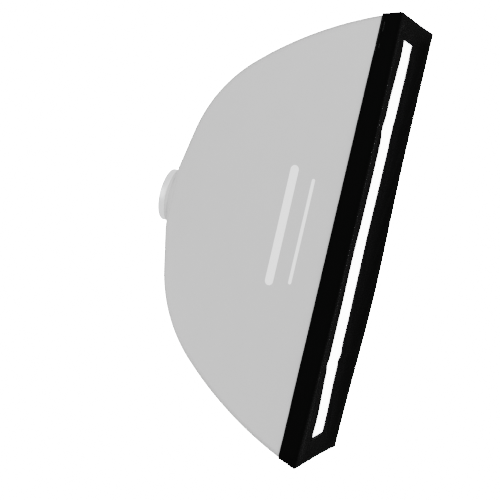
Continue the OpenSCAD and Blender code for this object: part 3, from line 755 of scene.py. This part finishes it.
def snap_fastener(spot, way):
    """A pressed snap: a round flange with a raised cap, which stands on the wall."""
    bm = bmesh.new()
    side = [(0.0, 0.0), (6.0, 0.0), (6.3, 0.3), (6.1, 0.7), (4.6, 1.0), (4.2, 1.9), (3.4, 2.3),
            (0.0, 2.4)]
    verts = [bm.verts.new((r * MM, 0, h * MM)) for r, h in side]
    for a, b in zip(verts, verts[1:]):
        bm.edges.new((a, b))
    bmesh.ops.spin(bm, geom=bm.verts[:] + bm.edges[:], cent=(0, 0, 0), axis=(0, 0, 1),
                   angle=2 * math.pi, steps=24, use_merge=True)
    bmesh.ops.remove_doubles(bm, verts=bm.verts, dist=1e-6)
    bmesh.ops.recalc_face_normals(bm, faces=bm.faces)
    turn = way.to_track_quat("Z", "Y").to_matrix().to_4x4()
    bmesh.ops.transform(bm, matrix=Matrix.Translation(spot) @ turn, verts=bm.verts)
    bm.loops.layers.uv.new("UVMap")
    return bm


def make_baffle():
    """The inner baffle: a white sheet with cut corners, hung on elastic straps and snaps."""
    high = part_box("inner_baffle")[1]
    cut = 30 * MM
    bm = grid(lambda u, t: Vector(((2 * u - 1) * high.x, high.y, (2 * t - 1) * high.z)), 36, 108,
              lambda u, t: (u * 2 * high.x, t * 2 * high.z))
    for sx in (-1, 1):
        for sz in (-1, 1):
            way = Vector((sx, 0, sz)).normalized()
            at = Vector((sx * (high.x - cut / 2), high.y, sz * (high.z - cut / 2)))
            bmesh.ops.bisect_plane(bm, geom=bm.verts[:] + bm.edges[:] + bm.faces[:], dist=1e-6,
                                   plane_co=at, plane_no=way, clear_outer=True)
    bmesh.ops.reverse_faces(bm, faces=bm.faces)
    piece = finish_piece("baffle_sheet", bm, "baffle nylon", "frame", ("inner_baffle",),
                         sharp=60)
    rows = (-0.22, 0.0, 0.22)

    def held(co):
        at_side = high.x - abs(co.x) < 4 * MM and min(abs(co.z - z) for z in rows) < 9 * MM
        at_end = high.z - abs(co.z) < 4 * MM and abs(co.x) < 9 * MM
        return 1.0 if at_side or at_end else 0.0

    settle(piece, held, 16, 8 * MM)
    thicken(piece, 0.5 * MM)

    # The straps run from the sheet's edge to the snaps, which sit on the shell's inner wall.
    straps, snaps = bmesh.new(), bmesh.new()
    strap_low, strap_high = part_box("baffle_straps")
    y = (strap_low.y + strap_high.y) / 2
    ends = [("left" if sx < 0 else "right", Vector((sx, 0, 0)), Vector((sx * high.x, y, z)))
            for sx in (-1, 1) for z in rows]
    ends += [("bottom" if sz < 0 else "top", Vector((0, 0, sz)), Vector((0, y, sz * high.z)))
             for sz in (-1, 1)]
    for panel, way, edge in ends:
        # The ray meets the lining, whose normal points into the box.
        _, spot, inward, _ = bpy.data.objects["panel_" + panel].ray_cast(edge, way)
        if inward.dot(way) > 0:
            inward = -inward
            spot = spot + inward * FABRIC
        wall = spot + inward * 0.3 * MM
        join(snaps, snap_fastener(wall, inward))
        # The strap ends flat against its snap, which stands beside it on the wall.
        start, end = edge - way * 12 * MM, wall + inward * 2.7 * MM
        points = [start.lerp(end, k / 10) + Vector((0, -1.2 * MM * math.sin(math.pi * k / 10), 0))
                  for k in range(11)]
        tip = (Vector((0, 1, 0)) - inward * inward.y).normalized()
        points += [points[-1] + tip * 3.5 * MM * k for k in (1, 2)]
        ups = [Vector((0, -1, 0)).lerp(inward, smooth((k - 7) / 4)).normalized() for k in range(13)]
        join(straps, sweep(along_path(points, ups), band(15 * MM, 0.9 * MM)))
    finish_piece("baffle_elastics", straps, "white elastic", "frame", ("baffle_straps",))
    finish_piece("baffle_snap_caps", snaps, "zinc steel", "frame", ("baffle_snaps",))


def fold(z, folds):
    """The sum of smooth folds across the mask, each a height, a rise in mm and a width."""
    return sum(rise * MM * math.exp(-((z - height) / width) ** 2) for height, rise, width in folds)


def crease_depth(x, z):
    """How far the strip opening's edges lie behind the rim: deeper at the old folds."""
    left = (9.8 - 4.0 * smooth((-0.24 - z) / 0.14)) * MM + fold(z, (
        (0.235, 2.2, 0.018), (0.28, 1.6, 0.05), (0.417, 0.9, 0.02), (0.385, -0.7, 0.02),
        (-0.04, 1.0, 0.06), (-0.258, 1.0, 0.010), (-0.404, 1.0, 0.015)))
    right = (11.6 - 1.6 * smooth(-z / 0.2) - 2.2 * smooth((-0.3 - z) / 0.1)) * MM + fold(z, (
        (0.232, 2.6, 0.018), (0.411, 1.8, 0.02), (0.03, 0.7, 0.06), (-0.24, -1.5, 0.012)))
    share = smooth((x + SLOT_HALF) / (2 * SLOT_HALF))
    return min(left + (right - left) * share, 12.6 * MM)


def mask_point(x, z):
    """A point of the mask's face: over the rim it is proud, then it drops to the diffuser."""
    size = bpy.context.scene.softbox_sizes
    from_side, from_end = MASK_HIGH.x - abs(x), MASK_HIGH.z - abs(z)
    drop = smooth((from_side - 4 * MM) / (58 * MM)) * smooth((from_end - 4 * MM) / (38 * MM))
    depth = crease_depth(x, z) * drop * size.mask_drop
    depth += 0.5 * MM * drop * ripple(x * 2.5, z, 1.7, 0.06)
    # A short crease runs out to the rim at each old fold.
    for height in OLD_FOLDS:
        depth += 1.1 * MM * math.exp(-((z - height) / 0.006) ** 2) * smooth(from_side / 0.02)
    round_over = 1.2 * MM * (1 - smooth(min(from_side, from_end) / (2.5 * MM)))
    return bowed(Vector((x, MASK_LOW.y + depth + round_over, z)))


def make_mask():
    """The strip mask: a black cloth face with a strip opening, and a skirt over the rim."""
    size = bpy.context.scene.softbox_sizes
    high_x, high_z = MASK_HIGH.x, MASK_HIGH.z
    hem_low, hem_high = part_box("slot_hem")
    hem = 6 * MM
    slot = (hem_low.x + hem, hem_high.x - hem, hem_low.z + hem, hem_high.z - hem)
    bm = bmesh.new()
    bmesh.ops.create_grid(bm, x_segments=62, y_segments=184, size=1)
    for v in bm.verts:
        v.co = Vector((v.co.x * high_x, 0, v.co.y * high_z))
    for axis, places in ((0, (slot[0] - hem, slot[0], slot[1], slot[1] + hem)),
                         (2, (slot[2] - hem, slot[2], slot[3], slot[3] + hem))):
        way = Vector((1, 0, 0)) if axis == 0 else Vector((0, 0, 1))
        for place in places:
            bmesh.ops.bisect_plane(bm, geom=bm.verts[:] + bm.edges[:] + bm.faces[:], dist=1e-5,
                                   plane_co=way * place, plane_no=way)
    gone = []
    for face in bm.faces:
        c = face.calc_center_median()
        if slot[0] < c.x < slot[1] and slot[2] < c.z < slot[3]:
            gone.append(face)
    bmesh.ops.delete(bm, geom=gone, context="FACES")
    bmesh.ops.remove_doubles(bm, verts=bm.verts, dist=0.5 * MM)
    outer = [e for e in bm.edges if e.is_boundary and
             all(abs(abs(v.co.x) - high_x) < 1e-5 or abs(abs(v.co.z) - high_z) < 1e-5 for v in e.verts)]
    layer = bm.loops.layers.uv.new("UVMap")
    for face in bm.faces:
        for loop in face.loops:
            loop[layer].uv = (loop.vert.co.x, loop.vert.co.z)
    for v in bm.verts:
        v.co = mask_point(v.co.x, v.co.z)
    # The skirt is the face's own cloth, turned back over the rim in rows.
    rear_x, rear_z = half_sizes("mask_skirt", SKIRT_HIGH.y)
    front_y, rear_y = MASK_LOW.y, SKIRT_HIGH.y
    rows = 9
    for row in range(1, rows + 1):
        made = bmesh.ops.extrude_edge_only(bm, edges=outer)["geom"]
        outer = [g for g in made if isinstance(g, bmesh.types.BMEdge)]
        ring = {v for e in outer for v in e.verts}
        back = row / rows
        for v in ring:
            if row == 1:
                v.co.y += 1.0 * MM
                continue
            start = v.co.copy()
            step = (rear_y - front_y) / rows
            v.co.x *= 1 + (rear_x / high_x - 1) / (rows - 1)
            loose_z = (3.2 if v.co.z > 0 else 1.0) * MM
            v.co.z *= 1 + ((rear_z + loose_z) / high_z - 1) / (rows - 1)
            loose = 0.5 * MM * ripple(start.x + start.z, start.y * 2, 3.1, 0.035) * smooth(back)
            v.co.x += loose * (1 if start.x > 0 else -1) * (abs(start.x) > 0.98 * rear_x)
            v.co.y += step
    for v in ring:
        v.co.y = rear_y + (v.co.y - rear_y) * 0.25
    for face in bm.faces:
        for loop in face.loops:
            if loop.vert.co.y > MASK_LOW.y + 2.2 * MM and loop[layer].uv.length == 0:
                loop[layer].uv = (loop.vert.co.x + loop.vert.co.z, loop.vert.co.y)
    bmesh.ops.recalc_face_normals(bm, faces=bm.faces)
    if sum(f.normal.y for f in bm.faces if f.calc_center_median().y < -0.43) > 0:
        bmesh.ops.reverse_faces(bm, faces=bm.faces)
    piece = finish_piece("strip_mask_cloth", bm, "mask polyester", "mask",
                         ("mask_face", "mask_skirt", "slot_hem"), sharp=70)

    def held(co):
        if min(high_x - abs(co.x), high_z - abs(co.z)) < 12 * MM or co.y > -0.433:
            return 1.0
        at_slot = abs(co.x) < 0.05 and abs(co.z) < 0.42
        return 0.9 if at_slot else 0.0

    settle(piece, held, 12, 1.2 * MM, gravity=0.5)
    thicken(piece, 0.8 * MM)

    # The turned hem round the strip opening, sewn with one row.
    outline = band(hem, 0.6 * MM)
    x0, x1, z0, z1 = slot
    loop = [Vector((x0, 0, z0)), Vector((x1, 0, z0)), Vector((x1, 0, z1)), Vector((x0, 0, z1))]
    hems = bmesh.new()
    paths = []
    for i, a in enumerate(loop):
        b = loop[(i + 1) % 4]
        way = (b - a).normalized()
        side = Vector((way.z, 0, -way.x)) * hem / 2
        steps = 80 if abs(way.z) > 0.5 else 10
        points = []
        for k in range(steps + 1):
            flat = a.lerp(b, k / steps) + side
            points.append(mask_point(flat.x, flat.z))
        frames = along_path(points, [Vector((0, -1, 0))] * len(points))
        join(hems, sweep(frames, outline))
        paths.append([mask_point(p.x, p.z) + Vector((0, -0.7 * MM, 0)) for p in
                      (a.lerp(b, k / steps) + side * 1.4 for k in range(steps + 1))])
    hem_piece = finish_piece("strip_hem", hems, "mask polyester", "mask")
    stitch_row("strip_hem_stitches", paths, hem_piece, "black thread", "mask", size.stitch)
    # The skirt's rear hem, its stitches and the grip tape inside it.
    skirt = []
    for inset in (3 * MM, 9 * MM):
        loop = [Vector((sx * rear_x, rear_y - inset, sz * rear_z))
                for sx, sz in ((-1, -1), (1, -1), (1, 1), (-1, 1), (-1, -1))]
        path = []
        for a, b in zip(loop, loop[1:]):
            path += [a.lerp(b, k / 50) for k in range(50)]
        skirt.append(path + path[:1])
    stitch_row("skirt_stitches", skirt, piece, "black thread", "mask", size.stitch)
    refine("mask_grip_tape", "hook tape", "mask", 0.2 * MM)


def refine(node, finish, body, width, segments=2, name=None):
    """A fitting with its edges broken: a merged copy of the node's mesh, bevelled."""
    bm = bmesh.new()
    bm.from_mesh(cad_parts[node].data)
    bmesh.ops.remove_doubles(bm, verts=bm.verts, dist=1e-6)
    bmesh.ops.dissolve_limit(bm, angle_limit=math.radians(0.6), verts=bm.verts, edges=bm.edges,
                             use_dissolve_boundaries=False)
    edges = [e for e in bm.edges if e.is_manifold and e.calc_face_angle(0) > math.radians(35)]
    bmesh.ops.bevel(bm, geom=edges, offset=width, offset_type="OFFSET", affect="EDGES",
                    segments=segments, profile=0.5, clamp_overlap=True, material=-1)
    bmesh.ops.remove_doubles(bm, verts=bm.verts, dist=1e-6)
    if not bm.loops.layers.uv:
        layer = bm.loops.layers.uv.new("UVMap")
        for face in bm.faces:
            for loop in face.loops:
                loop[layer].uv = (loop.vert.co.x + loop.vert.co.y, loop.vert.co.z)
    return finish_piece(name or node + "_fitting", bm, finish, body, (node,), sharp=32)


def make_adapter():
    """The clamp adapter: turned collar, rubber liner, stud, nut and retaining ring."""
    refine("adapter_collar", "turned aluminium", "adapter", 0.45 * MM)
    refine("bore_liner", "liner rubber", "adapter", 0.25 * MM)
    refine("clamp_stud", "zinc steel", "adapter", 0.4 * MM)
    refine("clamp_nut", "zinc steel", "adapter", 0.35 * MM)
    refine("retaining_ring", "zinc steel", "adapter", 0.2 * MM)
    refine("clamp_washer", "zinc steel", "clamp_washer", 0.2 * MM)
    refine("clamp_knob", "knob ABS", "clamp_knob", 0.6 * MM, segments=3)


def make_ring():
    """The turning ring: nylon bearing, cast hub, brackets, screws, pins and rotation lock."""
    refine("bearing_sleeve", "bearing nylon", "frame", 0.2 * MM)
    refine("ring_hub", "cast aluminium", "frame", 0.5 * MM)
    refine("rod_brackets", "cast aluminium", "frame", 0.35 * MM)
    refine("bracket_screws", "zinc steel", "frame", 0.3 * MM)
    refine("socket_pins", "zinc steel", "frame", 0.25 * MM)
    refine("brake_pad", "liner rubber", "brake_pad", 0.25 * MM)
    refine("lock_knob", "knob ABS", "lock_knob", 0.6 * MM, segments=3)


def make_rods():
    """The four fibreglass rods with their sockets, tips and corner pockets."""
    for name in CORNERS:
        body = "socket_" + name
        refine(body, "socket nylon", body, 0.5 * MM)
        rod = refine("rod_" + name, "fibreglass", None, 0.2 * MM,
                     name="rod_" + name + "_fibre")
        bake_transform(rod)
    refine("rod_tips", "knob ABS", "frame", 0.6 * MM, segments=3)
    refine("corner_pockets", "shell nylon", "frame", 0.4 * MM)


def make_stage():
    """A pale floor and backdrop, soft light from all round, and the camera."""
    scene = bpy.context.scene
    world = bpy.data.worlds.new("studio")
    world.use_nodes = True
    back = world.node_tree.nodes["Background"]
    back.inputs[0].default_value = colour("#FFFFFF")
    back.inputs[1].default_value = 1.8
    scene.world = world

    white = surface("studio white", {"Base Color": colour("#F4F4F4"), "Roughness": 1.0,
                                     "Emission Color": colour("#FFFFFF"),
                                     "Emission Strength": 40.0})[0]
    for name, radius, height in (("floor", 27.0, -1.25), ("backdrop", 28.0, 0.0)):
        bm = bmesh.new()
        if name == "floor":
            bmesh.ops.create_circle(bm, cap_ends=True, radius=radius, segments=96)
        else:
            bmesh.ops.create_uvsphere(bm, u_segments=48, v_segments=24, radius=radius)
            bmesh.ops.reverse_faces(bm, faces=bm.faces)
        bmesh.ops.translate(bm, verts=bm.verts, vec=(0, 0, height))
        mesh = bpy.data.meshes.new(name)
        bm.to_mesh(mesh)
        bm.free()
        mesh.materials.append(white)
        obj = bpy.data.objects.new(name, mesh)
        scene.collection.objects.link(obj)
        obj.visible_diffuse = obj.visible_glossy = obj.visible_shadow = False
        obj.visible_transmission = False

    for name, place, size, power in (("key", (-2.6, -1.6, 2.4), 2.2, 68.0),
                                     ("fill", (-2.8, 1.2, 0.2), 2.6, 26.0),
                                     ("front", (0.6, -3.2, 0.8), 2.4, 20.0)):
        lamp = bpy.data.lights.new(name, "AREA")
        lamp.shape = "DISK"
        lamp.size = size
        lamp.energy = power
        obj = bpy.data.objects.new(name, lamp)
        obj.location = place
        obj.rotation_euler = (Vector((0, -0.2, 0)) - Vector(place)).to_track_quat("-Z", "Y").to_euler()
        scene.collection.objects.link(obj)

    camera = bpy.data.cameras.new("camera")
    camera.lens = 97.35
    camera.sensor_width = 36.0
    camera.clip_start, camera.clip_end = 0.05, 200.0
    eye = bpy.data.objects.new("camera", camera)
    right, up = Vector((0.311, -0.9239, 0.2231)), Vector((0.0148, 0.2394, 0.9708))
    turn = Matrix.Rotation(0.00044, 3, right) @ Matrix((right, up, right.cross(up))).transposed()
    eye.matrix_world = Matrix.Translation((-2.7203, -1.0617, 0.1778)) @ turn.to_4x4()
    scene.collection.objects.link(eye)
    scene.camera = eye


# The add-on

class SoftboxSizes(bpy.types.PropertyGroup):
    """Sizes of the soft pieces."""

    piping: FloatProperty(name="Seam piping", description="Diameter of the piping in the seams",
                          default=2.6 * MM, min=1 * MM, max=8 * MM, unit="LENGTH")
    stitch: FloatProperty(name="Stitch", description="Length of one stitch with its gap",
                          default=4 * MM, min=2 * MM, max=10 * MM, unit="LENGTH")
    weave: FloatProperty(name="Weave", description="Spacing at which the shell's threads are drawn",
                         default=1.1 * MM, min=0.3 * MM, max=5 * MM, unit="LENGTH")
    side_pull: FloatProperty(name="Side pull", description="How far the long panels sink between seams",
                             default=12 * MM, min=0.0, max=40 * MM, unit="LENGTH")
    end_pull: FloatProperty(name="End pull", description="How far the short panels sink between seams",
                            default=7 * MM, min=0.0, max=30 * MM, unit="LENGTH")
    bow_out: FloatProperty(name="Rim bow", description="How far the long rim edges bow outward",
                           default=4.5 * MM, min=0.0, max=9 * MM, unit="LENGTH")
    bow_forward: FloatProperty(name="Rim reach", description="How far the long rim edges bow forward",
                               default=6 * MM, min=0.0, max=12 * MM, unit="LENGTH")
    slack: FloatProperty(name="Right edge slack", description="How far the right rim edge stands forward",
                         default=3.5 * MM, min=0.0, max=8 * MM, unit="LENGTH")
    mask_drop: FloatProperty(name="Mask drop", description="Share of the mask's drop behind the rim",
                             default=1.0, min=0.0, max=1.2, subtype="FACTOR")
    glow: FloatProperty(name="Diffuser glow", description="Light that comes through the diffuser",
                        default=12.0, min=0.0, max=40.0)


class SoftboxColours(bpy.types.PropertyGroup):
    """Colours of the softbox."""

    shell: FloatVectorProperty(name="Shell", description="Colour of the shell fabric",
                               default=colour("#AEAEAE"), size=4, min=0, max=1, subtype="COLOR")
    mask: FloatVectorProperty(name="Mask", description="Colour of the mask fabric",
                              default=colour("#050505"), size=4, min=0, max=1, subtype="COLOR")
    diffuser: FloatVectorProperty(name="Diffuser", description="Colour of the diffusing cloth",
                                  default=colour("#F4F4F4"), size=4, min=0, max=1, subtype="COLOR")
    adapter: FloatVectorProperty(name="Adapter", description="Colour of the adapter's metal",
                                 default=colour("#E2E3E4"), size=4, min=0, max=1, subtype="COLOR")


class SOFTBOX_OT_stage(bpy.types.Operator):
    """Make the studio floor, the light and the camera"""

    bl_idname = "softbox.stage"
    bl_label = "Stage"

    def execute(self, context):
        make_stage()
        return {"FINISHED"}


class SOFTBOX_OT_shell(bpy.types.Operator):
    """Make the four shell panels"""

    bl_idname = "softbox.shell"
    bl_label = "Shell Panels"

    def execute(self, context):
        make_shell()
        return {"FINISHED"}


class SOFTBOX_OT_seams(bpy.types.Operator):
    """Make the seam piping and its stitches"""

    bl_idname = "softbox.seams"
    bl_label = "Seams"

    def execute(self, context):
        make_seams()
        return {"FINISHED"}


class SOFTBOX_OT_collar(bpy.types.Operator):
    """Make the rear sleeve and its cinch strap"""

    bl_idname = "softbox.collar"
    bl_label = "Rear Sleeve"

    def execute(self, context):
        make_collar()
        return {"FINISHED"}


class SOFTBOX_OT_lip(bpy.types.Operator):
    """Make the binding and tapes inside the rim"""

    bl_idname = "softbox.lip"
    bl_label = "Rim Tapes"

    def execute(self, context):
        make_lip()
        return {"FINISHED"}


class SOFTBOX_OT_diffuser(bpy.types.Operator):
    """Make the front diffuser"""

    bl_idname = "softbox.diffuser"
    bl_label = "Front Diffuser"

    def execute(self, context):
        make_diffuser()
        return {"FINISHED"}


class SOFTBOX_OT_baffle(bpy.types.Operator):
    """Make the inner baffle, its straps and snaps"""

    bl_idname = "softbox.baffle"
    bl_label = "Inner Baffle"

    def execute(self, context):
        make_baffle()
        return {"FINISHED"}


class SOFTBOX_OT_mask(bpy.types.Operator):
    """Make the strip mask, its hems and grip tape"""

    bl_idname = "softbox.mask"
    bl_label = "Strip Mask"

    def execute(self, context):
        make_mask()
        return {"FINISHED"}


class SOFTBOX_OT_adapter(bpy.types.Operator):
    """Make the clamp adapter's fittings"""

    bl_idname = "softbox.adapter"
    bl_label = "Clamp Adapter"

    def execute(self, context):
        make_adapter()
        return {"FINISHED"}


class SOFTBOX_OT_ring(bpy.types.Operator):
    """Make the turning ring's fittings"""

    bl_idname = "softbox.ring"
    bl_label = "Turning Ring"

    def execute(self, context):
        make_ring()
        return {"FINISHED"}


class SOFTBOX_OT_rods(bpy.types.Operator):
    """Make the rods, sockets, tips and pockets"""

    bl_idname = "softbox.rods"
    bl_label = "Rods"

    def execute(self, context):
        make_rods()
        return {"FINISHED"}


OPERATORS = (SOFTBOX_OT_stage, SOFTBOX_OT_shell, SOFTBOX_OT_seams, SOFTBOX_OT_collar,
             SOFTBOX_OT_lip, SOFTBOX_OT_diffuser, SOFTBOX_OT_baffle, SOFTBOX_OT_mask,
             SOFTBOX_OT_adapter, SOFTBOX_OT_ring, SOFTBOX_OT_rods)


class SOFTBOX_PT_panel(bpy.types.Panel):
    """Lists the softbox's sizes, colours and pieces"""

    bl_idname = "SOFTBOX_PT_panel"
    bl_label = "Strip Softbox"
    bl_space_type = "VIEW_3D"
    bl_region_type = "UI"
    bl_category = "Softbox"

    def draw(self, context):
        for group in (context.scene.softbox_sizes, context.scene.softbox_colours):
            for key in group.__annotations__:
                self.layout.prop(group, key)
        for operator in OPERATORS:
            self.layout.operator(operator.bl_idname)


CLASSES = (SoftboxSizes, SoftboxColours, *OPERATORS, SOFTBOX_PT_panel)


def register():
    for cls in CLASSES:
        bpy.utils.register_class(cls)
    bpy.types.Scene.softbox_sizes = PointerProperty(type=SoftboxSizes)
    bpy.types.Scene.softbox_colours = PointerProperty(type=SoftboxColours)


def unregister():
    del bpy.types.Scene.softbox_colours
    del bpy.types.Scene.softbox_sizes
    for cls in reversed(CLASSES):
        bpy.utils.unregister_class(cls)


def main():
    """Registers the add-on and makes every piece."""
    register()
    for operator in OPERATORS:
        group, name = operator.bl_idname.split(".")
        getattr(getattr(bpy.ops, group), name)()


if __name__ == "__main__":
    main()
